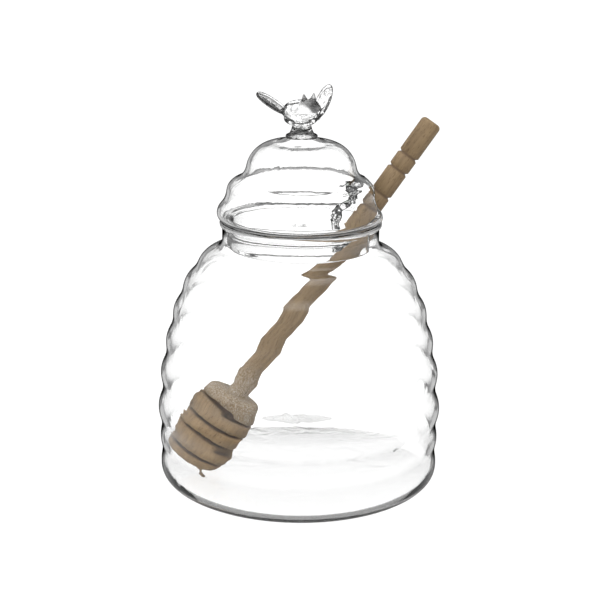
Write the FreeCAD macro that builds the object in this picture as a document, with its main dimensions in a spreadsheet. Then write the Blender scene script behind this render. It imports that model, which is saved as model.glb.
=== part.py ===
"""A blown glass honey pot: a ribbed beehive jar, a lid with a bee on top, and a turned wooden dipper.

The jar stands on z = 0 with its axis on Z. The notch in the lid is on the +X side, the dipper's
handle leaves the pot through it, and the dipper's head stands on the floor of the jar, towards -X.
All sizes are in millimetres and are kept in the spreadsheet "sizes".
"""

import FreeCAD, Part
import math
import os

import Sketcher

os.makedirs("parts", exist_ok=True)
doc = FreeCAD.newDocument("honey_pot")
Vector = FreeCAD.Vector

# ---------------------------------------------------------------- driving sizes

SIZES = {
    # jar
    "jar_wall": 1.3,            # thickness of the blown wall
    "jar_radius": 53.5,         # at the widest rib
    "shoulder_height": 80.6,    # middle of the top rib
    "floor_thickness": 2.0,
    "foot_round": 4.75,         # outer radius of the corner at the foot
    "rib_round": 7.3,           # radius of each rib's swell
    "valley_round": 12.6,       # radius of the hollow between two ribs
    "neck_radius": 29.05,       # outside of the neck
    "neck_round": 4.5,          # hollow where the shoulder turns up into the neck
    "lip_round": 1.12,          # fire-polished bead at the mouth
    "neck_rise": 19.1,          # from the top rib's middle to the top of the mouth
    # lid
    "lid_wall": 1.3,
    "rim_overhang": 1.0,        # widest tier, beyond the lip that it rests on
    "rim_round": 3.6,           # its upper half
    "rim_under_round": 2.8,     # its lower half, which sits on the lip
    "seat_gap": 0.05,           # between the rim and the lip
    "rim_valley_round": 9.5,
    "waist_inset": 3.55,        # middle tier, in from the widest
    "waist_rise": 7.85,         # from the rim tier's centre up to the middle tier's
    "waist_round": 4.45,
    "waist_valley_round": 6.4,
    "dome_inset": 10.6,         # top tier, in from the widest
    "dome_rise": 15.2,          # from the rim tier's centre up to the dome's
    "dome_round": 11.1,
    "flare_round": 7.0,         # hollow where the dome runs up into the stem
    "stem_radius": 3.4,
    "stem_rise": 34.5,          # from the rim tier's centre to the stem's top, inside the bee
    "collar_gap": 1.45,         # between the neck's bore and the collar that drops into it
    "collar_depth": 9.9,        # below the mouth's top
    "collar_round": 0.5,
    # notch in the lid
    "notch_turn": 17.0,         # degrees from +X towards +Y
    "notch_room": 12.6,         # space on each side of the handle
    "notch_round": 12.0,        # corners of its arch
    "notch_rise": 14.8,         # from the mouth's top to the top of the arch
    # bee
    "bee_rise": 37.4,           # from the rim tier's centre to the middle of the bee
    "bee_length": 15.0,
    "bee_depth": 10.4,
    "bee_height": 9.2,
    "bee_body_shift": 1.2,      # from the stem's axis to the body's middle, towards -X
    "bee_head_radius": 3.9,
    "bee_head_shift": 3.0,      # from the stem's axis to the head's middle, towards +X
    "bee_head_forward": 1.5,    # the same, towards -Y
    "feeler_height": 3.0,
    "feeler_radius": 1.5,
    "feeler_tip_radius": 0.4,
    "feeler_root_depth": 1.2,   # sunk into the head
    "left_feeler_lean": -26.0,  # degrees from upright, towards +X
    "right_feeler_lean": 5.0,
    "wing_length": 13.6,
    "wing_width": 7.6,
    "wing_thickness": 2.0,
    "wing_root_depth": 1.1,     # sunk into the body
    "left_wing_reach": 6.0,     # from the stem's axis to the wing's root
    "left_wing_height": -0.2,   # from the bee's middle to the wing's root
    "left_wing_lift": 33.0,     # degrees above level
    "left_wing_twist": 8.0,     # degrees about its own length
    "right_wing_reach": 5.2,
    "right_wing_height": -1.6,
    "right_wing_lift": 66.0,
    "right_wing_twist": 30.0,
    # dipper
    "dipper_length": 157.0,
    "handle_radius": 4.0,
    "handle_end_round": 1.0,
    "handle_groove_depth": 0.9,
    "handle_groove_width": 1.5,
    "head_radius": 12.4,
    "head_length": 32.0,
    "head_barrel_round": 60.0,  # long curve of the head's side
    "head_corner_round": 3.0,
    "head_core_radius": 7.8,    # wood left inside the ring grooves
    "ring_groove_width": 1.6,
    "ring_groove_first": 5.6,   # middle of the lowest groove above the head's end
    "ring_groove_pitch": 6.6,
    "ring_groove_count": 4,
    "dipper_turn": 9.9,         # direction in which the handle leans, degrees from +X towards +Y
    "dipper_aside": -1.3,       # how far its upright plane passes beside the jar's axis
    "head_tuck": 3.4,           # how much nearer the wall it stands than an upright head could
    "dipper_gap": 0.15,         # between the dipper and the glass that it touches
}

# Each rib, from the foot up: how far it stays inside the widest one, and its share of the height.
RIBS = [
    (0.8, 0.0757), (0.6, 0.196), (0.0, 0.3387), (1.05, 0.5074),
    (3.15, 0.6563), (5.95, 0.7916), (9.75, 0.907), (14.9, 1.0),
]

# Middle of each groove round the handle, measured down from its top.
HANDLE_GROOVES = [15.2, 21.5, 32.3, 38.7]

for number, (inset, share) in enumerate(RIBS, 1):
    SIZES[f"rib_radius_{number}"] = f"=jar_radius - {inset}"
    SIZES[f"rib_height_{number}"] = f"=shoulder_height * {share}"
for number, place in enumerate(HANDLE_GROOVES, 1):
    SIZES[f"handle_groove_{number}"] = place

# Sizes that follow from the ones above, so that the lid and the dipper keep fitting the jar.
SIZES |= {
    "lip_height": "=shoulder_height + neck_rise",
    "lip_centre_height": "=lip_height - lip_round",
    "bore_radius": "=neck_radius - jar_wall",
    "lip_centre_radius": "=bore_radius + lip_round",
    "collar_radius": "=bore_radius - collar_gap",
    "rim_radius": "=bore_radius + 2 * lip_round + rim_overhang",
    "waist_radius": "=rim_radius - waist_inset",
    "dome_radius": "=rim_radius - dome_inset",
    "rim_seat_across": "=rim_radius - rim_under_round - lip_centre_radius",
    "rim_seat_reach": "=rim_under_round + lip_round + seat_gap",
    "rim_level": "=lip_centre_height + sqrt(rim_seat_reach ^ 2 - rim_seat_across ^ 2)",
    "ring_cut_radius": "=head_radius + ring_groove_width",
    "dipper_foot_inset": "=head_radius - head_tuck",    # from the wall to its end's middle
    "notch_half": "=handle_radius + notch_room",
    "notch_top": "=lip_height + notch_rise",
    "notch_bottom": "=lip_height - 2 * collar_depth",
}

sheet = doc.addObject("Spreadsheet::Sheet", "sizes")
for row, (name, value) in enumerate(SIZES.items(), 1):
    sheet.set(f"A{row}", name)
    sheet.set(f"B{row}", str(value))
    sheet.setAlias(f"B{row}", name)
doc.recompute()


def size(name):
    """The number in the named cell."""
    return float(sheet.get(name))


def on_circle(centre, radius, degrees):
    """The point of a circle at an angle, as (across, up)."""
    angle = math.radians(degrees)
    return centre[0] + radius * math.cos(angle), centre[1] + radius * math.sin(angle)


def direction(start, end):
    """Angle of the line from start to end, in degrees."""
    return math.degrees(math.atan2(end[1] - start[1], end[0] - start[0]))


def hollow_centre(lower, lower_reach, upper, upper_reach):
    """Centre of the hollow arc outside two swells, given its distance from each swell's centre."""
    across, up = upper[0] - lower[0], upper[1] - lower[1]
    apart = math.hypot(across, up)
    along = (apart ** 2 + lower_reach ** 2 - upper_reach ** 2) / (2 * apart)
    out = math.sqrt(lower_reach ** 2 - along ** 2)
    return (
        lower[0] + (across * along + up * out) / apart,
        lower[1] + (up * along - across * out) / apart,
    )


# ---------------------------------------------------------------- sketch helpers

ORIGIN, UP_AXIS = (-1, 1), -2
START, END, CENTRE = 1, 2, 3


def new_body(name):
    """An empty body with its own name and label."""
    body = doc.addObject("PartDesign::Body", name)
    body.Label = name
    return body


def new_sketch(body, name, plane="XZ_Plane"):
    """A sketch on one of the body's own origin planes."""
    sketch = body.newObject("Sketcher::SketchObject", name)
    side = next(item for item in body.Origin.OriginFeatures if item.Role == plane)
    sketch.AttachmentSupport = [(side, "")]
    sketch.MapMode = "FlatFace"
    return sketch


class Outline:
    """An outline drawn round in order, each line or arc joined to the one before it."""

    def __init__(self, sketch):
        self.sketch = sketch
        self.pieces = []

    def _join(self, number, first, last, smooth):
        if self.pieces:
            before, _, before_last = self.pieces[-1]
            kind = "Tangent" if smooth else "Coincident"
            self.sketch.addConstraint(Sketcher.Constraint(kind, before, before_last, number, first))
        self.pieces.append((number, first, last))
        return number

    def line(self, start, end, level=None, smooth=True):
        """A straight stretch. level is "Horizontal" or "Vertical"."""
        edge = Part.LineSegment(Vector(*start, 0), Vector(*end, 0))
        number = self.sketch.addGeometry(edge, False)
        self._join(number, START, END, smooth)
        if level:
            self.sketch.addConstraint(Sketcher.Constraint(level, number))
        return number

    def arc(self, centre, radius, first, last, rule, smooth=True):
        """A round stretch from the angle first to the angle last. rule gives its radius."""
        turn = (first, last) if last > first else (last, first)
        circle = Part.Circle(Vector(*centre, 0), Vector(0, 0, 1), radius)
        edge = Part.ArcOfCircle(circle, math.radians(turn[0]), math.radians(turn[1]))
        number = self.sketch.addGeometry(edge, False)
        ends = (START, END) if last > first else (END, START)
        self._join(number, *ends, smooth)
        held = self.sketch.addConstraint(Sketcher.Constraint("Radius", number, radius))
        self.sketch.setExpression(f"Constraints[{held}]", rule)
        return number

    def close(self):
        """Join the last stretch to the first."""
        first, last = self.pieces[0], self.pieces[-1]
        self.sketch.addConstraint(Sketcher.Constraint("Coincident", last[0], last[2], first[0], first[1]))

    def across(self, number, point, value, rule):
        """Hold a point at a distance from the axis."""
        held = self.sketch.addConstraint(Sketcher.Constraint("DistanceX", *ORIGIN, number, point, value))
        self.sketch.setExpression(f"Constraints[{held}]", rule)

    def up(self, number, point, value, rule):
        """Hold a point at a height."""
        held = self.sketch.addConstraint(Sketcher.Constraint("DistanceY", *ORIGIN, number, point, value))
        self.sketch.setExpression(f"Constraints[{held}]", rule)

    def same_centre(self, number, other):
        """Give two arcs one centre."""
        self.sketch.addConstraint(Sketcher.Constraint("Coincident", number, CENTRE, other, CENTRE))

    def on_axis(self, number, point):
        """Hold a point on the upright axis."""
        self.sketch.addConstraint(Sketcher.Constraint("PointOnObject", number, point, UP_AXIS))

    def at_origin(self, number, point):
        """Hold a point at the origin."""
        self.sketch.addConstraint(Sketcher.Constraint("Coincident", number, point, *ORIGIN))


def spin(body, sketch, name, kind="PartDesign::Revolution"):
    """Turn a sketch once round the body's upright axis, as wood or glass, or to take it away."""
    feature = body.newObject(kind, name)
    feature.Profile = sketch
    feature.ReferenceAxis = (sketch, ["V_Axis"])
    feature.Angle = 360
    sketch.Visibility = False
    return feature


# ---------------------------------------------------------------- jar

def make_jar():
    """The ribbed jar: one wall of even thickness, drawn up its outside and back down its inside."""
    wall, rib_round, valley_round = size("jar_wall"), size("rib_round"), size("valley_round")
    neck, neck_round, lip_round = size("neck_radius"), size("neck_round"), size("lip_round")
    foot_round, floor = size("foot_round"), size("floor_thickness")
    count = len(RIBS)
    swells = [
        (size(f"rib_radius_{n}") - rib_round, size(f"rib_height_{n}")) for n in range(1, count + 1)
    ]
    reach = rib_round + valley_round
    hollows = [hollow_centre(swells[i], reach, swells[i + 1], reach) for i in range(count - 1)]
    turn_in = neck + neck_round
    rise = math.sqrt((rib_round + neck_round) ** 2 - (turn_in - swells[-1][0]) ** 2)
    hollows.append((turn_in, swells[-1][1] + rise))
    girth = size("rib_radius_1")
    lip = (size("lip_centre_radius"), size("lip_centre_height"))
    lip_start = -math.degrees(math.acos((neck - lip[0]) / lip_round))

    body = new_body("jar")
    sketch = new_sketch(body, "jar_section")
    outline = Outline(sketch)

    def side(inset, upwards):
        """All the ribs and hollows of one face of the wall, inset from the outside."""
        drawn = {}
        order = range(count) if upwards else range(count - 1, -1, -1)
        for i in order:
            swell = swells[i]
            low = 0.0 if i == 0 else direction(swell, hollows[i - 1])
            high = direction(swell, hollows[i])
            hollow = hollows[i]
            start = direction(hollow, swell) % 360
            stop = 180.0 if i == count - 1 else direction(hollow, swells[i + 1]) % 360
            arcs = [
                ("swell", swell, rib_round - inset, low, high),
                ("hollow", hollow, valley_round + inset, start, stop),
            ]
            if i == count - 1:
                arcs[1] = ("hollow", hollow, neck_round + inset, start, stop)
            if not upwards:
                arcs = [(part, centre, radius, b, a) for part, centre, radius, a, b in reversed(arcs)]
            taken = "" if upwards else " - sizes.jar_wall"
            added = "" if upwards else " + sizes.jar_wall"
            bend = "sizes.neck_round" if i == count - 1 else "sizes.valley_round"
            for part, centre, radius, first, last in arcs:
                rule = "sizes.rib_round" + taken if part == "swell" else bend + added
                drawn[part, i] = outline.arc(centre, radius, first, last, rule)
        return drawn

    # Outside: the base, the foot's corner, the ribs, the neck and the bead of the lip.
    base = outline.line((0, 0), (girth - foot_round, 0), "Horizontal")
    outline.at_origin(base, START)
    outline.arc((girth - foot_round, foot_round), foot_round, -90, 0, "sizes.foot_round")
    outline.line((girth, foot_round), (girth, swells[0][1]), "Vertical")
    outside = side(0.0, True)
    for i, swell in enumerate(swells):
        n = i + 1
        outline.across(outside["swell", i], CENTRE, swell[0], f"sizes.rib_radius_{n} - sizes.rib_round")
        outline.up(outside["swell", i], CENTRE, swell[1], f"sizes.rib_height_{n}")
    neck_top = on_circle(lip, lip_round, lip_start)
    upright = outline.line((neck, hollows[-1][1]), neck_top, "Vertical")
    outline.across(upright, START, neck, "sizes.neck_radius")
    bead = outline.arc(lip, lip_round, lip_start, 180, "sizes.lip_round", smooth=False)
    outline.up(bead, CENTRE, lip[1], "sizes.lip_centre_height")

    # Inside: the same curves, one wall further in, down to the floor.
    bore = outline.line((neck - wall, lip[1]), (neck - wall, hollows[-1][1]), "Vertical")
    outline.across(bore, END, neck - wall, "sizes.bore_radius")
    inside = side(wall, False)
    for i in range(count):
        outline.same_centre(inside["swell", i], outside["swell", i])
    corner = (girth - foot_round, floor + foot_round - wall)
    outline.line((girth - wall, swells[0][1]), (girth - wall, corner[1]), "Vertical")
    outline.arc(corner, foot_round - wall, 0, -90, "sizes.foot_round - sizes.jar_wall")
    bottom = outline.line((corner[0], floor), (0, floor), "Horizontal")
    outline.up(bottom, END, floor, "sizes.floor_thickness")
    outline.on_axis(bottom, END)
    outline.line((0, floor), (0, 0), smooth=False)
    outline.close()
    spin(body, sketch, "jar_blown")
    return body


# ---------------------------------------------------------------- lid

def make_lid_glass():
    """The lid's glass: three tiers, the stem above them and the collar below, before the notch."""
    wall, level = size("lid_wall"), size("rim_level")
    rim = (size("rim_radius") - size("rim_round"), level)
    under = (size("rim_radius") - size("rim_under_round"), level)
    waist = (size("waist_radius") - size("waist_round"), level + size("waist_rise"))
    dome = (size("dome_radius") - size("dome_round"), level + size("dome_rise"))
    rim_valley = hollow_centre(
        rim, size("rim_round") + size("rim_valley_round"),
        waist, size("waist_round") + size("rim_valley_round"),
    )
    waist_valley = hollow_centre(
        waist, size("waist_round") + size("waist_valley_round"),
        dome, size("dome_round") + size("waist_valley_round"),
    )
    stem, flare_round = size("stem_radius"), size("flare_round")
    stem_top = level + size("stem_rise")
    flare_rise = math.sqrt((size("dome_round") + flare_round) ** 2 - (stem + flare_round - dome[0]) ** 2)
    flare = (stem + flare_round, dome[1] + flare_rise)
    collar, fillet = size("collar_radius"), size("collar_round")
    seat = level - size("rim_under_round")
    collar_turn = (collar + fillet, seat - fillet)
    collar_end = (collar - wall / 2, size("lip_height") - size("collar_depth") + wall / 2)
    ceiling = dome[1] + size("dome_round") - wall

    body = new_body("lid_glass")
    sketch = new_sketch(body, "lid_section")
    outline = Outline(sketch)

    # Outside, from the stem down to the collar.
    top = outline.line((0, stem_top), (stem, stem_top), "Horizontal")
    outline.on_axis(top, START)
    outline.up(top, START, stem_top, "sizes.rim_level + sizes.stem_rise")
    post = outline.line((stem, stem_top), (stem, flare[1]), "Vertical", smooth=False)
    outline.across(post, START, stem, "sizes.stem_radius")
    outline.arc(flare, flare_round, 180, direction(flare, dome) % 360, "sizes.flare_round")

    def tiers(inset, downwards):
        """The three tiers and two hollows of one face of the glass, inset from the outside."""
        crown = direction(dome, flare) if downwards else 90.0
        chain = [
            ("dome", dome, size("dome_round") - inset, crown, direction(dome, waist_valley)),
            ("waist_valley", waist_valley, size("waist_valley_round") + inset,
             direction(waist_valley, dome) % 360, direction(waist_valley, waist) % 360),
            ("waist", waist, size("waist_round") - inset,
             direction(waist, waist_valley), direction(waist, rim_valley)),
            ("rim_valley", rim_valley, size("rim_valley_round") + inset,
             direction(rim_valley, waist) % 360, direction(rim_valley, rim) % 360),
            ("rim", rim, size("rim_round") - inset, direction(rim, rim_valley), 0.0),
            ("rim_under", under, size("rim_under_round") - inset, 0.0, -90.0),
        ]
        if not downwards:
            chain = [(part, centre, radius, b, a) for part, centre, radius, a, b in reversed(chain)]
        drawn = {}
        for part, centre, radius, first, last in chain:
            sign = "+" if "valley" in part else "-"
            rule = f"sizes.{part}_round" + ("" if downwards else f" {sign} sizes.lid_wall")
            drawn[part] = outline.arc(centre, radius, first, last, rule)
        return drawn

    outside = tiers(0.0, True)
    outline.across(outside["dome"], CENTRE, dome[0], "sizes.dome_radius - sizes.dome_round")
    outline.up(outside["dome"], CENTRE, dome[1], "sizes.rim_level + sizes.dome_rise")
    outline.across(outside["waist"], CENTRE, waist[0], "sizes.waist_radius - sizes.waist_round")
    outline.up(outside["waist"], CENTRE, waist[1], "sizes.rim_level + sizes.waist_rise")
    outline.across(outside["rim"], CENTRE, rim[0], "sizes.rim_radius - sizes.rim_round")
    outline.up(outside["rim"], CENTRE, level, "sizes.rim_level")
    outline.up(outside["rim_under"], CENTRE, level, "sizes.rim_level")
    outline.line((under[0], seat), (collar_turn[0], seat), "Horizontal")
    turn = outline.arc(collar_turn, fillet, 90, 180, "sizes.collar_round")
    outline.across(turn, CENTRE, collar_turn[0], "sizes.collar_radius + sizes.collar_round")
    outline.line((collar, collar_turn[1]), (collar, collar_end[1]), "Vertical")
    end = outline.arc(collar_end, wall / 2, 0, -180, "sizes.lid_wall / 2")
    outline.up(
        end, CENTRE, collar_end[1], "sizes.lip_height - sizes.collar_depth + sizes.lid_wall / 2"
    )

    # Inside, from the collar back up to the middle of the dome.
    outline.line((collar - wall, collar_end[1]), (collar - wall, collar_turn[1]), "Vertical")
    outline.arc(collar_turn, fillet + wall, 180, 90, "sizes.collar_round + sizes.lid_wall")
    outline.line((collar_turn[0], seat + wall), (under[0], seat + wall), "Horizontal")
    inside = tiers(wall, False)
    for part in ("dome", "waist", "rim"):
        outline.same_centre(inside[part], outside[part])
    outline.up(inside["rim_under"], CENTRE, level, "sizes.rim_level")
    crown = outline.line((dome[0], ceiling), (0, ceiling), "Horizontal")
    outline.on_axis(crown, END)
    outline.line((0, ceiling), (0, stem_top), smooth=False)
    outline.close()
    spin(body, sketch, "lid_blown")
    return body


def cut_notch(body):
    """The arched notch in the lid's side, through its wall and its collar, for the handle."""
    half, top, low = size("notch_half"), size("notch_top"), size("notch_bottom")
    bend = size("notch_round")
    sketch = new_sketch(body, "notch_shape", "YZ_Plane")
    sketch.AttachmentOffset = FreeCAD.Placement(Vector(), FreeCAD.Rotation(Vector(0, 1, 0), 1))
    sketch.setExpression("AttachmentOffset.Rotation.Angle", "sizes.notch_turn")
    outline = Outline(sketch)
    left = outline.line((-half, low), (-half, top - bend), "Vertical")
    outline.arc((bend - half, top - bend), bend, 180, 90, "sizes.notch_round")
    crest = outline.line((bend - half, top), (half - bend, top), "Horizontal")
    outline.arc((half - bend, top - bend), bend, 90, 0, "sizes.notch_round")
    right = outline.line((half, top - bend), (half, low), "Vertical")
    outline.line((half, low), (-half, low), "Horizontal", smooth=False)
    outline.close()
    outline.across(right, END, half, "sizes.notch_half")
    outline.up(right, END, low, "sizes.notch_bottom")
    outline.up(crest, END, top, "sizes.notch_top")
    held = sketch.addConstraint(Sketcher.Constraint("DistanceX", left, START, *ORIGIN, half))
    sketch.setExpression(f"Constraints[{held}]", "sizes.notch_half")
    doc.recompute()
    whole = body.Shape.Volume
    notch = body.newObject("PartDesign::Pocket", "notch")
    notch.Profile = sketch
    notch.Type = "Length"
    notch.setExpression("Length", "2 * sizes.rim_radius")
    notch.Reversed = True
    sketch.Visibility = False
    doc.recompute()
    if body.Shape.Volume >= whole:
        raise RuntimeError("the notch cuts nothing out of the lid")


# ---------------------------------------------------------------- bee

def ellipsoid(name, rules, place, turn=FreeCAD.Rotation()):
    """An ellipsoid with its half sizes along X, Y and Z given by rules, set down at a place."""
    solid = doc.addObject("Part::Ellipsoid", name)
    for radius, rule in zip(("Radius2", "Radius3", "Radius1"), rules):
        solid.setExpression(radius, rule)
    solid.Placement = FreeCAD.Placement(place, turn)
    return solid


def make_bee():
    """The bee on the stem: a stout body, a head with two feelers, and two lifted wings."""
    middle = Vector(0, 0, size("rim_level") + size("bee_rise"))
    parts = [
        ellipsoid(
            "bee_body", ("sizes.bee_length / 2", "sizes.bee_depth / 2", "sizes.bee_height / 2"),
            middle + Vector(-size("bee_body_shift"), 0, 0),
        )
    ]
    head = middle + Vector(size("bee_head_shift"), -size("bee_head_forward"), 0)
    parts.append(ellipsoid("bee_head", ("sizes.bee_head_radius",) * 3, head))
    root = Vector(0, 0, size("bee_head_radius") - size("feeler_root_depth"))
    for side in ("left", "right"):
        feeler = doc.addObject("Part::Cone", f"bee_feeler_{side}")
        feeler.setExpression("Radius1", "sizes.feeler_radius")
        feeler.setExpression("Radius2", "sizes.feeler_tip_radius")
        feeler.setExpression("Height", "sizes.feeler_height")
        turn = FreeCAD.Rotation(Vector(0, 1, 0), size(f"{side}_feeler_lean"))
        feeler.Placement = FreeCAD.Placement(head + turn.multVec(root), turn)
        parts.append(feeler)
    rules = ("sizes.wing_length / 2", "sizes.wing_width / 2", "sizes.wing_thickness / 2")
    reach = Vector(size("wing_length") / 2 - size("wing_root_depth"), 0, 0)
    for side, heading in (("left", 180), ("right", 0)):
        facing = FreeCAD.Rotation(Vector(0, 0, 1), heading)
        lifted = FreeCAD.Rotation(Vector(0, 1, 0), -size(f"{side}_wing_lift"))
        twisted = FreeCAD.Rotation(Vector(1, 0, 0), size(f"{side}_wing_twist"))
        turn = facing.multiply(lifted).multiply(twisted)
        start = facing.multVec(Vector(size(f"{side}_wing_reach"), 0, 0))
        start += middle + Vector(0, 0, size(f"{side}_wing_height"))
        parts.append(ellipsoid(f"bee_wing_{side}", rules, start + turn.multVec(reach), turn))
    return parts


def make_lid():
    """The whole lid: its glass and the bee are melted into one piece."""
    glass = make_lid_glass()
    doc.recompute()
    cut_notch(glass)
    lid = doc.addObject("Part::MultiFuse", "lid")
    lid.Shapes = [glass] + make_bee()
    lid.Label = "lid"
    return lid


# ---------------------------------------------------------------- dipper

LEAST_LEAN = 15.0   # degrees from upright at which the search for the dipper's lean starts
LEAN_STEP = 0.5
HALVINGS = 30
AXIS_STEPS = 4000   # places along the handle where its distance to the lip is measured


def foot_height(lean):
    """Height of the head's end above the ground when its rounded lower edge is on the floor."""
    across, corner = barrel()[1]
    clear = size("floor_thickness") + size("dipper_gap")
    return clear + across * math.sin(lean) + corner * (1 - math.cos(lean))


def lean_on_lip():
    """Where the dipper rests: its lean from upright, and the middle of its head's end.

    In its upright plane the head's lower edge stands on the floor and the handle lies against the
    bead of the lip. The lean is found by stepping until they touch, then halving the last step.
    """
    foot_across = size("dipper_foot_inset") - (size("rib_radius_1") - size("jar_wall"))
    aside = size("dipper_aside")
    bead_radius, bead_height = size("lip_centre_radius"), size("lip_centre_height")
    touch = size("handle_radius") + size("lip_round") + size("dipper_gap")
    reach = size("dipper_length") / AXIS_STEPS

    def clear(lean):
        """Whether the handle stays off the ring that runs inside the bead."""
        for step in range(AXIS_STEPS):
            across = foot_across + step * reach * math.sin(lean)
            up = foot_height(lean) + step * reach * math.cos(lean)
            apart = math.hypot(bead_radius - math.hypot(across, aside), bead_height - up)
            if across > 0 and apart <= touch:
                return False
            if across > bead_radius:
                break
        return True

    high = math.radians(LEAST_LEAN)
    while clear(high):
        high += math.radians(LEAN_STEP)
    low = high - math.radians(LEAN_STEP)
    for _ in range(HALVINGS):
        middle = (low + high) / 2
        if clear(middle):
            low = middle
        else:
            high = middle
    turn = math.radians(size("dipper_turn"))
    place = Vector(
        foot_across * math.cos(turn) - aside * math.sin(turn),
        foot_across * math.sin(turn) + aside * math.cos(turn),
        foot_height(low),
    )
    return math.degrees(low), place


def barrel():
    """Centre of the long curve of the head's side, and of the rounded corner below it."""
    curve, corner = size("head_barrel_round"), size("head_corner_round")
    half = size("head_length") / 2
    across = size("head_radius") - curve
    corner_across = across + math.sqrt((curve - corner) ** 2 - (half - corner) ** 2)
    return (across, half), (corner_across, corner)


def make_dipper():
    """The turned dipper, standing on its head's end along Z until it is leaned into the jar."""
    (side, corner), length = barrel(), size("dipper_length")
    head, bend = size("head_length"), size("head_corner_round")
    curve, handle, end = size("head_barrel_round"), size("handle_radius"), size("handle_end_round")
    upper = (corner[0], head - bend)
    body = new_body("dipper")
    sketch = new_sketch(body, "dipper_section")
    outline = Outline(sketch)
    foot = outline.line((0, 0), (corner[0], 0), "Horizontal")
    outline.at_origin(foot, START)
    outline.arc(corner, bend, -90, direction(side, corner), "sizes.head_corner_round")
    swell = outline.arc(
        side, curve, direction(side, corner), direction(side, upper), "sizes.head_barrel_round"
    )
    outline.arc(upper, bend, direction(side, upper), 90, "sizes.head_corner_round")
    shoulder = outline.line((upper[0], head), (handle, head), "Horizontal")
    post = outline.line((handle, head), (handle, length - end), "Vertical", smooth=False)
    outline.arc((handle - end, length - end), end, 0, 90, "sizes.handle_end_round")
    top = outline.line((handle - end, length), (0, length), "Horizontal")
    outline.on_axis(top, END)
    outline.line((0, length), (0, 0), smooth=False)
    outline.close()
    # The barrel's centre lies beyond the axis, so its distance is measured the other way.
    held = sketch.addConstraint(Sketcher.Constraint("DistanceX", swell, CENTRE, *ORIGIN, -side[0]))
    sketch.setExpression(f"Constraints[{held}]", "sizes.head_barrel_round - sizes.head_radius")
    outline.up(swell, CENTRE, head / 2, "sizes.head_length / 2")
    outline.up(shoulder, START, head, "sizes.head_length")
    outline.across(post, START, handle, "sizes.handle_radius")
    outline.up(top, END, length, "sizes.dipper_length")
    spin(body, sketch, "dipper_turned")
    cut_rings(body)
    cut_handle_grooves(body)
    lean, place = lean_on_lip()
    turn = size("dipper_turn")
    tip = FreeCAD.Rotation(Vector(0, 0, 1), turn).multiply(FreeCAD.Rotation(Vector(0, 1, 0), lean))
    body.Placement = FreeCAD.Placement(place, tip)
    return body


def cut_rings(body):
    """The ring grooves that hold the honey, one cut and the rest repeated up the head."""
    core, outer = size("head_core_radius"), size("ring_cut_radius")
    middle, half = size("ring_groove_first"), size("ring_groove_width") / 2
    sketch = new_sketch(body, "ring_shape")
    outline = Outline(sketch)
    low = outline.line((core + half, middle - half), (outer, middle - half), "Horizontal")
    edge = outline.line((outer, middle - half), (outer, middle + half), "Vertical", smooth=False)
    high = outline.line((outer, middle + half), (core + half, middle + half), "Horizontal", smooth=False)
    round_end = outline.arc((core + half, middle), half, 90, 270, "sizes.ring_groove_width / 2")
    first, last = outline.pieces[0], outline.pieces[-1]
    sketch.addConstraint(Sketcher.Constraint("Tangent", last[0], last[2], first[0], first[1]))
    outline.across(round_end, CENTRE, core + half, "sizes.head_core_radius + sizes.ring_groove_width / 2")
    outline.up(round_end, CENTRE, middle, "sizes.ring_groove_first")
    outline.across(edge, START, outer, "sizes.ring_cut_radius")
    groove = spin(body, sketch, "ring_groove", "PartDesign::Groove")
    doc.recompute()
    rings = body.newObject("PartDesign::LinearPattern", "ring_grooves")
    rings.Originals = [groove]
    rings.Direction = (sketch, ["V_Axis"])
    rings.Occurrences = int(size("ring_groove_count"))
    rings.setExpression("Length", "sizes.ring_groove_pitch * (sizes.ring_groove_count - 1)")
    body.Tip = rings


def cut_handle_grooves(body):
    """Four V-shaped grooves turned into the upper end of the handle."""
    handle, length = size("handle_radius"), size("dipper_length")
    depth, half = size("handle_groove_depth"), size("handle_groove_width") / 2
    sketch = new_sketch(body, "handle_groove_shapes")
    for number in range(1, len(HANDLE_GROOVES) + 1):
        middle = length - size(f"handle_groove_{number}")
        outline = Outline(sketch)
        low = outline.line((handle, middle - half), (handle, middle + half), "Vertical")
        outline.line((handle, middle + half), (handle - depth, middle), smooth=False)
        cut = outline.line((handle - depth, middle), (handle, middle - half), smooth=False)
        outline.close()
        rule = f"sizes.dipper_length - sizes.handle_groove_{number}"
        outline.across(low, START, handle, "sizes.handle_radius")
        outline.up(low, START, middle - half, rule + " - sizes.handle_groove_width / 2")
        outline.up(low, END, middle + half, rule + " + sizes.handle_groove_width / 2")
        outline.across(cut, START, handle - depth, "sizes.handle_radius - sizes.handle_groove_depth")
        outline.up(cut, START, middle, rule)
    spin(body, sketch, "handle_grooves", "PartDesign::Groove")


# ---------------------------------------------------------------- build, check and write

PIECES = [make_jar(), make_lid(), make_dipper()]
doc.recompute()

for item in doc.Objects:
    if {"Invalid", "Error"} & set(item.State):
        raise RuntimeError(f"{item.Name} failed: {item.State}")
for piece in PIECES:
    if piece.Shape.isNull() or not piece.Shape.isValid() or not piece.Shape.Solids:
        raise RuntimeError(f"{piece.Label} has no sound shape")
    box = piece.Shape.optimalBoundingBox()
    print(
        f"{piece.Label}: {len(piece.Shape.Solids)} solid, {piece.Shape.Volume:.0f} mm3, "
        f"x {box.XMin:.1f} to {box.XMax:.1f}, y {box.YMin:.1f} to {box.YMax:.1f}, "
        f"z {box.ZMin:.1f} to {box.ZMax:.1f}"
    )
    piece.Shape.exportStep(f"parts/{piece.Label}.step")
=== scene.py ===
# %% [markdown]
# # A blown glass honey pot
#
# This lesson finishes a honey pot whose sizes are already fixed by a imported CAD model. There are
# three things to make: a beehive jar, a lid with a bee for its knob, and a wooden dipper. The
# glass is remade with real walls, because clear glass shows both of its faces.

import math

import bmesh
import bpy
from mathutils import Matrix, Vector


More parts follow.
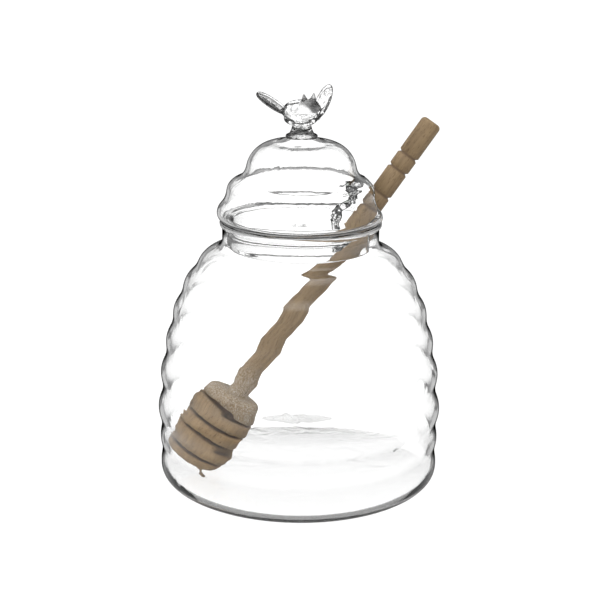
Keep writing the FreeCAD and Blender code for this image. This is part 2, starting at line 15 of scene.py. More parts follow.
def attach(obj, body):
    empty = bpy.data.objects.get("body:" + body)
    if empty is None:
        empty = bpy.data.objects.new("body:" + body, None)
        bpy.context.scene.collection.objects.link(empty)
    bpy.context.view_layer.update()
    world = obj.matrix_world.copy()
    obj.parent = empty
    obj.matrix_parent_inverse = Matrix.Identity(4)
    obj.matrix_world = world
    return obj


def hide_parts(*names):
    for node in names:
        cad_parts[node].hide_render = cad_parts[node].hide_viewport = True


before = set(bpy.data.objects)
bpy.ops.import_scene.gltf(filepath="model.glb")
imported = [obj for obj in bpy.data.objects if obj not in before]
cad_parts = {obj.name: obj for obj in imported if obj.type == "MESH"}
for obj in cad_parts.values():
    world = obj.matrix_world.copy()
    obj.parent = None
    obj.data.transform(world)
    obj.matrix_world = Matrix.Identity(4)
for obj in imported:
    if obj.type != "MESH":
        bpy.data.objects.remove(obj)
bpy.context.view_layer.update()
print("frame holds", sorted(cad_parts))

# %% [markdown]
# ## Drawing a section
#
# Blown and turned things are round, so each one starts as half a section on the XZ plane. The
# section is drawn like a potter's template: a pen, which is one vertex, is swung about a centre
# and leaves an arc behind it, or is pulled straight. Arcs whose centres lie in line with the place
# where they meet run smoothly into one another, so the pen needs only the list of centres. All
# sections are drawn in millimetres and shrunk to metres at the end.

# %% The pen
MM = 0.001
ARC_STEP = 0.55     # mm between two points of an arc
LEAST_STEPS = 3


def start_pen(bm, across, up):
    """Set the pen down."""
    return bm.verts.new((across, 0, up))


def pull(bm, pen, across, up):
    """Draw a straight line to a place."""
    pen = bmesh.ops.extrude_vert_indiv(bm, verts=[pen])["verts"][0]
    pen.co = (across, 0, up)
    return pen


def swing(bm, pen, centre, towards):
    """Draw an arc about a centre until the pen lies in line with another point."""
    here = math.atan2(pen.co.z - centre[1], pen.co.x - centre[0])
    there = math.atan2(towards[1] - centre[1], towards[0] - centre[0])
    turn = (there - here + math.pi) % math.tau - math.pi
    radius = math.hypot(pen.co.x - centre[0], pen.co.z - centre[1])
    steps = max(LEAST_STEPS, round(abs(turn) * radius / ARC_STEP))
    arc = bmesh.ops.spin(
        bm, geom=[pen], cent=(centre[0], 0, centre[1]), axis=(0, -1, 0), angle=turn, steps=steps
    )
    return next(part for part in arc["geom_last"] if isinstance(part, bmesh.types.BMVert))


def follow(bm, pen, centres):
    """Swing about each centre in turn, each time until the next one is in line."""
    for centre, following in zip(centres, centres[1:]):
        pen = swing(bm, pen, centre, following)
    return pen


# %% Where the hollow between two swells has its centre
def hollow_between(lower, lower_reach, upper, upper_reach):
    """Centre of a hollow outside two swells, given its distance from each swell's centre."""
    across, up = upper[0] - lower[0], upper[1] - lower[1]
    apart = math.hypot(across, up)
    along = (apart ** 2 + lower_reach ** 2 - upper_reach ** 2) / (2 * apart)
    out = math.sqrt(lower_reach ** 2 - along ** 2)
    return (
        lower[0] + (across * along + up * out) / apart,
        lower[1] + (up * along - across * out) / apart,
    )


# %% [markdown]
# ## Softening a section
#
# Glass is reheated after it is shaped, and the heat rounds off every sudden change of curve. That
# matters for the looks: where a wall bends suddenly, whatever stands behind it is torn into steps.
# Moving each point of a stretch a little towards its neighbours, several times over, does the same.

# %% Soften
HALFWAY = 0.5     # how far a point moves towards the middle of its neighbours


def soften(bm, stretch, times):
    """Relax a stretch of a section, which is a range of its points."""
    bm.verts.ensure_lookup_table()
    verts = [bm.verts[number] for number in stretch]
    for _ in range(times):
        bmesh.ops.smooth_vert(bm, verts=verts, factor=HALFWAY, use_axis_x=True, use_axis_z=True)


# %% [markdown]
# ## From a section to a piece
#
# A full spin about the upright axis closes the wall. Its doubles are merged and its normals
# recalculated at once, because glass whose faces point the wrong way bends light the wrong way.
# A piece that has modifiers gets their result as its own mesh before it is joined to another.

# %% Spin and finish
ROUND_STEPS = 160
MERGE_WITHIN = 0.002     # mm


def spin_round(bm, steps=ROUND_STEPS):
    """Turn the whole section once round the upright axis."""
    bmesh.ops.spin(
        bm, geom=bm.verts[:] + bm.edges[:], cent=(0, 0, 0), axis=(0, 0, 1),
        angle=math.tau, steps=steps, use_merge=True,
    )
    bmesh.ops.remove_doubles(bm, verts=bm.verts, dist=MERGE_WITHIN)
    bmesh.ops.recalc_face_normals(bm, faces=bm.faces)


def make_piece(name, bm, scale=MM):
    """Shrink a mesh to metres and make an object of it, smoothly shaded."""
    bmesh.ops.scale(bm, vec=(scale,) * 3, verts=bm.verts)
    mesh = bpy.data.meshes.new(name)
    bm.to_mesh(mesh)
    bm.free()
    mesh.shade_smooth()
    piece = bpy.data.objects.new(name, mesh)
    bpy.context.scene.collection.objects.link(piece)
    print(name, len(mesh.polygons), "faces")
    return piece


def shaped_mesh(piece):
    """A new mesh of a piece as its modifiers shape it."""
    return bpy.data.meshes.new_from_object(piece.evaluated_get(bpy.context.evaluated_depsgraph_get()))


def settle(piece):
    """Make a piece's modifiers part of its mesh."""
    piece.data = shaped_mesh(piece)
    piece.modifiers.clear()


# %% [markdown]
# ## The jar
#
# Eight ribs run round the jar, each a small swell with a wider hollow above it, and the last
# hollow turns up into the neck. The wall is drawn up its outside and back down its inside about
# the same centres, so that it keeps its thickness, and it ends in a fire-polished bead at the
# mouth. A mould presses the ribs into the outside only, so the inside is softened more.

# %% The jar's sizes, in millimetres
JAR_WALL, FLOOR, FOOT_ROUND = 1.3, 2.0, 4.75
RIB_ROUND, VALLEY_ROUND, NECK_ROUND = 7.3, 12.6, 4.5
NECK_RADIUS, LIP_ROUND, LIP_HEIGHT = 29.05, 1.12, 99.7
# radius and height of each rib, from the foot up
RIBS = [
    (52.7, 6.1), (52.9, 15.8), (53.5, 27.3), (52.45, 40.9),
    (50.35, 52.9), (47.55, 63.8), (43.75, 73.1), (38.6, 80.6),
]
OUTER_SOFTENING, INNER_SOFTENING, CORNER_SOFTENING = 4, 12, 8    # times each is smoothed

# %% The centres of its ribs, its neck and its lip
swells = [(radius - RIB_ROUND, height) for radius, height in RIBS]
reach = RIB_ROUND + VALLEY_ROUND
hollows = [hollow_between(low, reach, high, reach) for low, high in zip(swells, swells[1:])]
neck_turn = NECK_RADIUS + NECK_ROUND
neck_rise = math.sqrt((RIB_ROUND + NECK_ROUND) ** 2 - (neck_turn - swells[-1][0]) ** 2)
hollows.append((neck_turn, swells[-1][1] + neck_rise))
rib_centres = [centre for pair in zip(swells, hollows) for centre in pair]
girth = RIBS[0][0]
bore = NECK_RADIUS - JAR_WALL
lip = (bore + LIP_ROUND, LIP_HEIGHT - LIP_ROUND)
lip_foot = lip[1] - math.sqrt(LIP_ROUND ** 2 - (NECK_RADIUS - lip[0]) ** 2)
corner = (girth - FOOT_ROUND, FLOOR + FOOT_ROUND - JAR_WALL)
print("the neck turns up at", round(hollows[-1][1], 1), "mm")

# %% The jar's glass, up the outside and down the inside
bm = bmesh.new()
pen = start_pen(bm, 0, 0)
pen = pull(bm, pen, girth - FOOT_ROUND, 0)
pen = swing(bm, pen, (girth - FOOT_ROUND, FOOT_ROUND), (girth, FOOT_ROUND))
pen = pull(bm, pen, girth, RIBS[0][1])
start = len(bm.verts)
pen = follow(bm, pen, rib_centres + [(0, hollows[-1][1])])
outside = range(start, len(bm.verts) - 1)
pen = pull(bm, pen, NECK_RADIUS, lip_foot)
pen = follow(bm, pen, [lip, (lip[0], LIP_HEIGHT)])
pen = follow(bm, pen, [lip, (0, lip[1])])
pen = pull(bm, pen, bore, hollows[-1][1])
start = len(bm.verts)
pen = follow(bm, pen, rib_centres[::-1] + [(girth, RIBS[0][1])])
inside = range(start, len(bm.verts) - 1)
start = len(bm.verts) - 2
pen = pull(bm, pen, girth - JAR_WALL, corner[1])
pen = swing(bm, pen, corner, (corner[0], 0))
low_inside = range(start, len(bm.verts) - 1)
pull(bm, pen, 0, FLOOR)
soften(bm, outside, OUTER_SOFTENING)
soften(bm, inside, INNER_SOFTENING)
soften(bm, low_inside, CORNER_SOFTENING)
spin_round(bm)
jar = make_piece("jar_glass", bm)

# %% [markdown]
# ## The lid
#
# The lid repeats the beehive in three tiers. A collar below its widest tier drops into the neck,
# the underside of that tier rests on the jar's lip, and a solid stem rises from the crown to carry
# the bee. The hollow inside follows the tiers and ends in a small round crown under the stem.

# %% The lid's sizes, in millimetres
LID_WALL, SEAT_GAP = 1.3, 0.05
RIM_RADIUS, RIM_ROUND, RIM_UNDER_ROUND, RIM_VALLEY_ROUND = 30.99, 3.6, 2.8, 9.5
WAIST_RADIUS, WAIST_RISE, WAIST_ROUND, WAIST_VALLEY_ROUND = 27.44, 7.85, 4.45, 6.4
DOME_RADIUS, DOME_RISE, DOME_ROUND = 20.39, 15.2, 11.1
FLARE_ROUND, STEM_RADIUS, STEM_RISE = 7.0, 3.4, 34.5
CROWN_ROUND = 5.0     # the hollow's top, inside the flare
COLLAR_RADIUS, COLLAR_DEPTH, COLLAR_ROUND = 26.3, 9.9, 0.5

# %% The centres of its tiers, its flare and its collar
seat_reach = RIM_UNDER_ROUND + LIP_ROUND + SEAT_GAP
level = lip[1] + math.sqrt(seat_reach ** 2 - (RIM_RADIUS - RIM_UNDER_ROUND - lip[0]) ** 2)
rim = (RIM_RADIUS - RIM_ROUND, level)
under = (RIM_RADIUS - RIM_UNDER_ROUND, level)
waist = (WAIST_RADIUS - WAIST_ROUND, level + WAIST_RISE)
dome = (DOME_RADIUS - DOME_ROUND, level + DOME_RISE)
rim_valley = hollow_between(
    rim, RIM_ROUND + RIM_VALLEY_ROUND, waist, WAIST_ROUND + RIM_VALLEY_ROUND
)
waist_valley = hollow_between(
    waist, WAIST_ROUND + WAIST_VALLEY_ROUND, dome, DOME_ROUND + WAIST_VALLEY_ROUND
)
flare_across = STEM_RADIUS + FLARE_ROUND
flare_up = dome[1] + math.sqrt((DOME_ROUND + FLARE_ROUND) ** 2 - (flare_across - dome[0]) ** 2)
flare = (flare_across, flare_up)
crown = (0, flare[1] - math.sqrt((FLARE_ROUND + LID_WALL + CROWN_ROUND) ** 2 - flare[0] ** 2))
seat = level - RIM_UNDER_ROUND
collar_turn = (COLLAR_RADIUS + COLLAR_ROUND, seat - COLLAR_ROUND)
collar_end = (COLLAR_RADIUS - LID_WALL / 2, LIP_HEIGHT - COLLAR_DEPTH + LID_WALL / 2)
stem_top = level + STEM_RISE
tiers = [dome, waist_valley, waist, rim_valley, rim]
print("the lid's widest tier is at", round(level, 1), "mm and its stem ends at", round(stem_top, 1))

# %% The lid's glass, down the outside, round the collar and up the inside
bm = bmesh.new()
pen = start_pen(bm, 0, stem_top)
pen = pull(bm, pen, STEM_RADIUS, stem_top)
pen = pull(bm, pen, STEM_RADIUS, flare[1])
start = len(bm.verts)
pen = follow(bm, pen, [flare] + tiers + [(RIM_RADIUS, level)])
outside = range(start, len(bm.verts) - 1)
pen = follow(bm, pen, [under, (under[0], 0)])
pen = pull(bm, pen, collar_turn[0], seat)
pen = follow(bm, pen, [collar_turn, (0, collar_turn[1])])
pen = pull(bm, pen, COLLAR_RADIUS, collar_end[1])
pen = follow(bm, pen, [collar_end, (collar_end[0], 0)])
pen = follow(bm, pen, [collar_end, (0, collar_end[1])])
pen = pull(bm, pen, COLLAR_RADIUS - LID_WALL, collar_turn[1])
pen = follow(bm, pen, [collar_turn, (collar_turn[0], LIP_HEIGHT + STEM_RISE)])
pen = pull(bm, pen, under[0], seat + LID_WALL)
pen = follow(bm, pen, [under, (RIM_RADIUS, level)])
start = len(bm.verts)
pen = follow(bm, pen, tiers[::-1] + [flare])
inside = range(start, len(bm.verts) - 1)
pen = follow(bm, pen, [flare, crown, (0, stem_top)])
soften(bm, outside, OUTER_SOFTENING // 2)
soften(bm, inside, INNER_SOFTENING // 4)
spin_round(bm)
lid = make_piece("lid_glass", bm)

# %% [markdown]
# ## The notch
#
# The dipper's handle leaves the pot through an arched notch, cut through the lid's side and its
# collar while the glass is cold and then melted smooth. The cutter is an arch drawn with the same
# pen and pushed outwards from the lid's axis. One list gives the arch and, later, its melted edge.

# %% The notch's line, in millimetres
NOTCH_TURN = 17.0     # degrees round from the X axis
# across, up and thickness of the melted bead: up the front, over the arch and down the back
EDGE = [
    (-16.6, 91.5, 0.6), (-16.6, 95, 0.6), (-16.6, 98, 0.65), (-16.8, 100, 0.7), (-16.4, 103, 0.7),
    (-15.2, 106.5, 0.7), (-13.6, 110, 0.7), (-11, 112.7, 0.8), (-6.5, 114.2, 0.8), (-1, 114.6, 0.9),
    (3.4, 113.6, 1.0), (6.2, 112.2, 1.6), (8.2, 110.2, 2.3), (10.6, 108.4, 1.7), (12.6, 106.8, 1.6),
    (14.2, 105, 2.0), (15.4, 103, 2.1), (16, 101, 1.7), (16, 98.8, 1.6), (16, 96.4, 1.8),
    (16, 94, 1.7), (16.2, 91.8, 0.9),
]
NOTCH_LOW = 80        # below the collar

# %% Cut the notch, and keep the whole lid to measure on
bm = bmesh.new()
pen = first = start_pen(bm, EDGE[0][0], NOTCH_LOW)
for across, up, _ in EDGE:
    pen = pull(bm, pen, across, up)
pen = pull(bm, pen, EDGE[-1][0], NOTCH_LOW)
bm.edges.new((pen, first))
arch = bmesh.ops.contextual_create(bm, geom=bm.edges[:])["faces"]
pushed = bmesh.ops.extrude_face_region(bm, geom=arch)["geom"]
far_end = [part for part in pushed if isinstance(part, bmesh.types.BMVert)]
bmesh.ops.translate(bm, vec=(0, -2 * RIM_RADIUS, 0), verts=far_end)
bmesh.ops.recalc_face_normals(bm, faces=bm.faces)
to_the_notch = Matrix.Rotation(math.radians(90 + NOTCH_TURN), 3, "Z")
bmesh.ops.rotate(bm, cent=(0, 0, 0), matrix=to_the_notch, verts=bm.verts)
cutter = make_piece("notch_cutter", bm)
whole_lid = lid.copy()
whole_lid.data = lid.data.copy()
bpy.context.scene.collection.objects.link(whole_lid)
cut = lid.modifiers.new("notch", "BOOLEAN")
cut.operation, cut.solver, cut.object = "DIFFERENCE", "EXACT", cutter
settle(lid)
bpy.data.objects.remove(cutter)
print("lid after the notch:", len(lid.data.polygons), "faces")

# %% [markdown]
# ## The dipper
# A honey dipper is turned on a lathe from one stick of beech. The head is a shallow barrel with
# four deep rings cut into it, which hold the honey, and the handle has four shallow grooves where
# the fingers go. It's drawn standing on its head, then leaned over and set down in the jar. An
# attribute marks the bottoms of the cuts, where the wood's colour is painted dark: painted shade. The
# turner's tool scorches the bottoms of the cuts, so an attribute marks them for the wood to read.

# %% The dipper's sizes, in millimetres
DIPPER_LENGTH, HANDLE_RADIUS, HANDLE_END = 157.0, 4.0, 1.6
HEAD_RADIUS, HEAD_LENGTH, BARREL_ROUND, HEAD_CORNER = 12.4, 32.0, 60.0, 3.0
CORE_RADIUS, RING_WIDTH, RING_FIRST, RING_PITCH, RING_COUNT = 7.8, 1.6, 5.6, 6.6, 4
HANDLE_GROOVES = [15.2, 21.5, 32.3, 38.7]      # from the handle's end
GROOVE_DEPTH, GROOVE_WIDTH = 0.9, 1.5
DIPPER_LEAN, DIPPER_TURN = math.radians(35.352), math.radians(9.9)
DIPPER_FOOT = Vector((-41.545, -8.570, 7.273))
DIPPER_STEPS = 96

# %% Where its barrel, rings and grooves lie
barrel = (HEAD_RADIUS - BARREL_ROUND, HEAD_LENGTH / 2)
corner_reach = HEAD_LENGTH / 2 - HEAD_CORNER
corner_across = barrel[0] + math.sqrt((BARREL_ROUND - HEAD_CORNER) ** 2 - corner_reach ** 2)
low_corner, high_corner = (corner_across, HEAD_CORNER), (corner_across, HEAD_LENGTH - HEAD_CORNER)
rings = [RING_FIRST + number * RING_PITCH for number in range(RING_COUNT)]
grooves = [DIPPER_LENGTH - place for place in HANDLE_GROOVES[::-1]]
print("rings at", rings, "mm, grooves at", grooves)


def barrel_at(up):
    """Radius of the head's side at a height."""
    return barrel[0] + math.sqrt(BARREL_ROUND ** 2 - (up - barrel[1]) ** 2)


# %% Turn it
bm = bmesh.new()
pen = start_pen(bm, 0, 0)
pen = pull(bm, pen, corner_across, 0)
pen = swing(bm, pen, low_corner, (BARREL_ROUND + HEAD_RADIUS, barrel[1]))
half_ring = RING_WIDTH / 2
for middle in rings:
    bottom = (CORE_RADIUS + half_ring, middle)
    pen = pull(bm, pen, barrel_at(middle - half_ring), middle - half_ring)
    pen = pull(bm, pen, bottom[0], middle - half_ring)
    pen = swing(bm, pen, bottom, (0, middle))
    pen = swing(bm, pen, bottom, (bottom[0], middle + half_ring))
    pen = pull(bm, pen, barrel_at(middle + half_ring), middle + half_ring)
pen = pull(bm, pen, barrel_at(high_corner[1]), high_corner[1])
pen = swing(bm, pen, high_corner, (corner_across, HEAD_LENGTH))
pen = pull(bm, pen, HANDLE_RADIUS, HEAD_LENGTH)
for middle in grooves:
    pen = pull(bm, pen, HANDLE_RADIUS, middle - GROOVE_WIDTH / 2)
    pen = pull(bm, pen, HANDLE_RADIUS - GROOVE_DEPTH, middle)
    pen = pull(bm, pen, HANDLE_RADIUS, middle + GROOVE_WIDTH / 2)
end = (HANDLE_RADIUS - HANDLE_END, DIPPER_LENGTH - HANDLE_END)
pen = pull(bm, pen, HANDLE_RADIUS, end[1])
pen = swing(bm, pen, end, (end[0], DIPPER_LENGTH))
pull(bm, pen, 0, DIPPER_LENGTH)
spin_round(bm, DIPPER_STEPS)

# %% Mark the cuts' bottoms for painted shade, and set it down in the jar
# painted shade: how strongly the bottoms of the rings and of the grooves are painted dark
RING_SHADE, GROOVE_SHADE = 0.9, 0.8
BESIDE, BELOW_THE_SIDE = 0.01, 0.2     # mm

cut_shade = bm.verts.layers.float.new("cut_shade")
for vert in bm.verts:
    radius = math.hypot(vert.co.x, vert.co.y)
    for middle in rings:
        in_ring = abs(vert.co.z - middle) < half_ring + BESIDE
        if in_ring and radius < barrel_at(middle) - BELOW_THE_SIDE:
            vert[cut_shade] = RING_SHADE
    for middle in grooves:
        if abs(vert.co.z - middle) < BESIDE:
            vert[cut_shade] = GROOVE_SHADE
lean = Matrix.Rotation(DIPPER_TURN, 3, "Z") @ Matrix.Rotation(DIPPER_LEAN, 3, "Y")
bmesh.ops.rotate(bm, cent=(0, 0, 0), matrix=lean, verts=bm.verts)
bmesh.ops.translate(bm, vec=DIPPER_FOOT, verts=bm.verts)
dipper = make_piece("dipper_wood", bm)

# %% [markdown]
# ## Mixing a finish
#
# Every finish below is a few nodes. A few helpers keep them readable: they add a node and feed its
# inputs, lay colours along a value, ease a value in between two places, mix colours and calculate.

# %% Helpers for finishes
def new_material(name):
    """An empty material, with its node tree."""
    material = bpy.data.materials.new(name)
    material.use_nodes = True
    material.node_tree.nodes.clear()
    return material, material.node_tree


def add(tree, kind, inputs=(), **settings):
    """Add a node, change its settings, and feed its inputs with constants or with other nodes."""
    node = tree.nodes.new("ShaderNode" + kind)
    for setting, value in settings.items():
        setattr(node, setting, value)
    for socket, value in dict(inputs).items():
        if isinstance(value, bpy.types.NodeSocket):
            tree.links.new(value, node.inputs[socket])
        else:
            node.inputs[socket].default_value = value
    return node


def tones(tree, value, stops, easing="LINEAR"):
    """Colours along a value from 0 to 1. A stop is a place and a colour, or a place and a grey."""
    ramp = add(tree, "ValToRGB", {"Fac": value})
    scale = ramp.color_ramp
    scale.interpolation = easing
    colours = [tone if isinstance(tone, tuple) else (tone,) * 3 for _, tone in stops]
    scale.elements[0].position, scale.elements[0].color = stops[0][0], (*colours[0], 1)
    scale.elements[1].position, scale.elements[1].color = stops[-1][0], (*colours[-1], 1)
    for (place, _), colour in zip(stops[1:-1], colours[1:-1]):
        scale.elements.new(place).color = (*colour, 1)
    return ramp.outputs["Color"]


def fade(tree, value, start, end, full=1.0):
    """A value that eases from 0 at one place to its full size at another."""
    inputs = {"Value": value, "From Min": start, "From Max": end, "To Max": full}
    return add(tree, "MapRange", inputs, interpolation_type="SMOOTHSTEP").outputs["Result"]


def blend(tree, kind, factor, one, other):
    """Mix two colours."""
    inputs = {"Factor": factor, "A": one, "B": other}
    return add(tree, "Mix", inputs, data_type="RGBA", blend_type=kind).outputs["Result"]


def calculate(tree, operation, *values):
    """A sum, a product or the like of numbers and other nodes' outputs."""
    return add(tree, "Math", enumerate(values), operation=operation).outputs[0]


# %% [markdown]
# ## Glass
#
# The pot is borosilicate glass, clear and almost colourless. What draws it is its edges: a wall
# seen edge on sends the light elsewhere and goes dark. Walls this thin would draw only a faint
# line, so Layer Weight, which tells how far a face turns away, greys the glass's colour on the
# grazing faces: painted shade along its edges. Hand-worked glass is never quite even, so noise in
# its own coordinates tilts its surface. The same noise greys the colour of glass that has been
# drawn and folded in patches: painted shade in its creases. Only the bee's head has a bloom: fine
# scratches, which are a higher roughness.

# %% Glass
GLASS_IOR, GLASS_BODY, GLASS_DENSITY = 1.473, (0.80, 0.83, 0.80, 1), 12.0
UNEVEN_DETAIL, UNEVEN_DISTORTION, UNEVEN_STRENGTH = 1.5, 1.2, 0.6
FROST_ROUGHNESS, FROST_WAVES, FROST_DEPTH = 0.3, 900, 0.1 * MM
FROST_TONES = [(0.35, 0.80), (0.65, 0.96)]


def unevenness(tree, waves, depth):
    """Noise with so many waves to a metre, and the tilt that its depth gives the surface."""
    coordinates = add(tree, "TexCoord").outputs["Object"]
    noise = add(tree, "TexNoise", {
        "Vector": coordinates, "Scale": waves, "Detail": UNEVEN_DETAIL, "Distortion": UNEVEN_DISTORTION,
    }).outputs["Fac"]
    bump = add(tree, "Bump", {"Strength": UNEVEN_STRENGTH, "Distance": depth, "Height": noise})
    return noise, bump.outputs["Normal"]


def clear_glass(name, edges, waves, depth, crease_shade=None):
    """Clear glass. Its painted edge shade and painted crease shade are stops of grey: by how far it
    turns away, and by noise.
    """
    material, tree = new_material(name)
    noise, tilt = unevenness(tree, waves, depth)
    facing = add(tree, "LayerWeight").outputs["Facing"]
    # painted shade: the colour greys towards the grazing faces
    colour = tones(tree, facing, edges, easing="EASE")
    # painted shade: noise greys the colour in patches where the glass was drawn and folded
    if crease_shade:
        colour = blend(tree, "MULTIPLY", 1.0, colour, tones(tree, noise, crease_shade, easing="EASE"))
    glass = add(tree, "BsdfGlass", {
        "Color": colour, "Roughness": 0.0, "IOR": GLASS_IOR, "Normal": tilt,
    })
    body = add(tree, "VolumeAbsorption", {"Color": GLASS_BODY, "Density": GLASS_DENSITY})
    add(tree, "OutputMaterial", {"Surface": glass.outputs["BSDF"], "Volume": body.outputs["Volume"]})
    return material


def frosted_glass(name):
    """Glass with a fine bloom on it."""
    material, tree = new_material(name)
    noise, tilt = unevenness(tree, FROST_WAVES, FROST_DEPTH)
    frost = add(tree, "BsdfGlass", {
        "Color": tones(tree, noise, FROST_TONES), "Roughness": FROST_ROUGHNESS,
        "IOR": GLASS_IOR, "Normal": tilt,
    })
    add(tree, "OutputMaterial", {"Surface": frost.outputs["BSDF"]})
    return material


# %% The jar's glass and the lid's four kinds
PLAIN, DRAWN, FROSTED, MELTED = range(4)

# The stops of grey are painted shade: on each glass's grazing faces, and in the creases of the drawn
# and melted glass.
jar.data.materials.append(
    clear_glass("clear_glass", [(0.79, 1.0), (0.92, 0.0)], waves=65, depth=0.22 * MM)
)
lid_glasses = [
    clear_glass("lid_glass", [(0.78, 1.0), (0.92, 0.0)], waves=80, depth=0.3 * MM),
    clear_glass(
        "drawn_glass", [(0.40, 1.0), (0.88, 0.05)], waves=260, depth=0.7 * MM,
        crease_shade=[(0.46, 1.0), (0.5, 0.48), (0.54, 1.0)],
    ),
    frosted_glass("frosted_glass"),
    # the melted edge is painted dark nearly all over, by facing and by noise: painted shade
    clear_glass(
        "melted_glass", [(0.15, 1.0), (0.75, 0.03)], waves=220, depth=0.8 * MM,
        crease_shade=[(0.40, 1.0), (0.5, 0.04), (0.60, 1.0)],
    ),
]


def glaze(piece):
    """Give a piece all the lid's kinds of glass, so that its faces can choose."""
    for glass in lid_glasses:
        piece.data.materials.append(glass)


glaze(lid)
print("glasses:", [glass.name for glass in lid_glasses])

# %% [markdown]
# ## The bee
#
# The knob is a bee, drawn and folded by hand from soft glass. It is made of gathers that melt
# together in the flame: a body, a few threads wound round it, a blunt head with two drawn points,
# and two wings, each a flat web inside a thicker rim. Every gather is a ball, a thread or a point
# from one bmesh operator. A fine voxel remesh then melts them into one skin, as the flame does, and
# smoothing takes away the grid's steps.

# %% Gathers, threads and points
BALL_ROUNDS, THREAD_SEGMENTS, THREAD_STEPS, POINT_SEGMENTS = 4, 16, 64, 24
UNTURNED = Matrix.Identity(3)
SKIN_SOFTENING = 3     # times a melted skin is smoothed


def set_down(bm, verts, half_sizes, turn, place):
    """Stretch some vertices, turn them and put them in their place."""
    bmesh.ops.scale(bm, vec=half_sizes, verts=verts)
    bmesh.ops.rotate(bm, cent=(0, 0, 0), matrix=turn, verts=verts)
    bmesh.ops.translate(bm, vec=place, verts=verts)


def gather(bm, half_sizes, place, turn=UNTURNED):
    """A ball of soft glass, stretched, turned and set down."""
    ball = bmesh.ops.create_icosphere(bm, subdivisions=BALL_ROUNDS, radius=1)["verts"]
    set_down(bm, ball, half_sizes, turn, place)


def thread(bm, half_length, half_width, thickness, place, turn=UNTURNED):
    """A closed thread of glass, drawn out into an oval."""
    before = set(bm.verts)
    thin = thickness / half_length
    ring = bmesh.ops.create_circle(bm, segments=THREAD_SEGMENTS, radius=thin)["verts"]
    bmesh.ops.rotate(bm, cent=(0, 0, 0), matrix=Matrix.Rotation(math.pi / 2, 3, "X"), verts=ring)
    bmesh.ops.translate(bm, vec=(1 - thin, 0, 0), verts=ring)
    edges = [edge for edge in bm.edges if edge.verts[0] in ring]
    bmesh.ops.spin(
        bm, geom=ring + edges, cent=(0, 0, 0), axis=(0, 0, 1),
        angle=math.tau, steps=THREAD_STEPS, use_merge=True,
    )
    made = [vert for vert in bm.verts if vert not in before]
    set_down(bm, made, (half_length, half_width, half_length), turn, place)


def draw_point(bm, start, end, thick, thin=0.25):
    """A drawn-out point of glass."""
    along = end - start
    cone = bmesh.ops.create_cone(
        bm, cap_ends=True, segments=POINT_SEGMENTS, radius1=thick, radius2=thin, depth=along.length
    )["verts"]
    set_down(bm, cone, (1, 1, 1), along.to_track_quat("Z", "Y").to_matrix(), (start + end) / 2)


def melt(piece, fineness):
    """Melt a piece's gathers into one skin, and smooth it."""
    skin = piece.modifiers.new("melt", "REMESH")
    skin.mode, skin.voxel_size, skin.use_smooth_shade = "VOXEL", fineness, True
    relax = piece.modifiers.new("relax", "SMOOTH")
    relax.factor, relax.iterations = HALFWAY, SKIN_SOFTENING
    settle(piece)


# %% The bee's sizes, in millimetres
BEE_GRAIN = 0.26 * MM     # the remesh's grid
BEE_MIDDLE = Vector((0, 0, level + 37.4))
BEE_BODY = BEE_MIDDLE + Vector((-0.6, 0, -0.4))
BEE_HEAD = BEE_MIDDLE + Vector((2.5, -1.9, 2.0))
BODY_HALF, HEAD_HALF = (6.4, 4.4, 3.7), Vector((4.0, 3.2, 2.9))
SHOULDER_HALF, SHOULDER = (2.0, 2.4, 2.2), BEE_BODY + Vector((5.0, 0.5, -0.6))
THREAD_THICK, THREAD_SLOPE = 0.8, Matrix.Rotation(math.radians(25), 3, "X")
# half length, half width and place of the threads that lie round the body
LYING_THREADS = [
    (6.9, 5.2, BEE_MIDDLE + Vector((0.2, 0, 1.0))), (6.2, 4.6, BEE_BODY + Vector((0.2, -0.4, -2.0))),
]
# half size and place along the body of the threads that stand round it
STANDING_THREADS = [(3.3, -4.2), (4.1, 1.2)]
# where each point on the head starts and ends, from the head's middle, and how thick it starts
HEAD_POINTS = [((-1.5, 0, 1.4), (-1.9, 0.2, 4.6)), ((1.3, 0, 1.6), (1.8, 0.2, 5.0))]
POINT_THICK, POINT_DEPTH = 1.7, 1.8
# heading, reach and height of the root, lift and twist; the angles are in degrees
WINGS = [(180.0, 6.0, -0.2, 33.0, -14.0), (0.0, 5.2, -1.6, 66.0, 34.0)]
WING_HALF, WING_RIM, WEB_HALF, WING_ROOT_HALF = (6.8, 3.6), 0.75, (6.2, 3.0, 0.5), (1.6, 2.2, 1.4)
WING_REACH = 5.7      # from its root to its middle
STEM_RING, STEM_RING_THICK, STEM_RING_DROP = 5.9, 0.6, 4.8

# %% The bee
bm = bmesh.new()
gather(bm, BODY_HALF, BEE_BODY)
for half_length, half_width, place in LYING_THREADS:
    thread(bm, half_length, half_width, THREAD_THICK, place, THREAD_SLOPE)
upright = Matrix.Rotation(math.pi / 2, 3, "Y")
for half_size, along in STANDING_THREADS:
    thread(bm, half_size, half_size, THREAD_THICK, BEE_BODY + Vector((along, 0, 0)), upright)
gather(bm, SHOULDER_HALF, SHOULDER)
gather(bm, HEAD_HALF, BEE_HEAD)
for root, tip in HEAD_POINTS:
    draw_point(bm, BEE_HEAD + Vector(root), BEE_HEAD + Vector(tip), POINT_THICK)
for heading, reach_out, height, lift, twist in WINGS:
    facing = Matrix.Rotation(math.radians(heading), 3, "Z")
    turn = (
        facing @ Matrix.Rotation(-math.radians(lift), 3, "Y")
        @ Matrix.Rotation(math.radians(twist), 3, "X")
    )
    root = BEE_MIDDLE + facing @ Vector((reach_out, 0, 0)) + Vector((0, 0, height))
    middle = root + turn @ Vector((WING_REACH, 0, 0))
    thread(bm, *WING_HALF, WING_RIM, middle, turn)
    gather(bm, WEB_HALF, middle, turn)
    gather(bm, WING_ROOT_HALF, root, turn)
thread(bm, STEM_RING, STEM_RING, STEM_RING_THICK, (0, 0, flare[1] - STEM_RING_DROP))
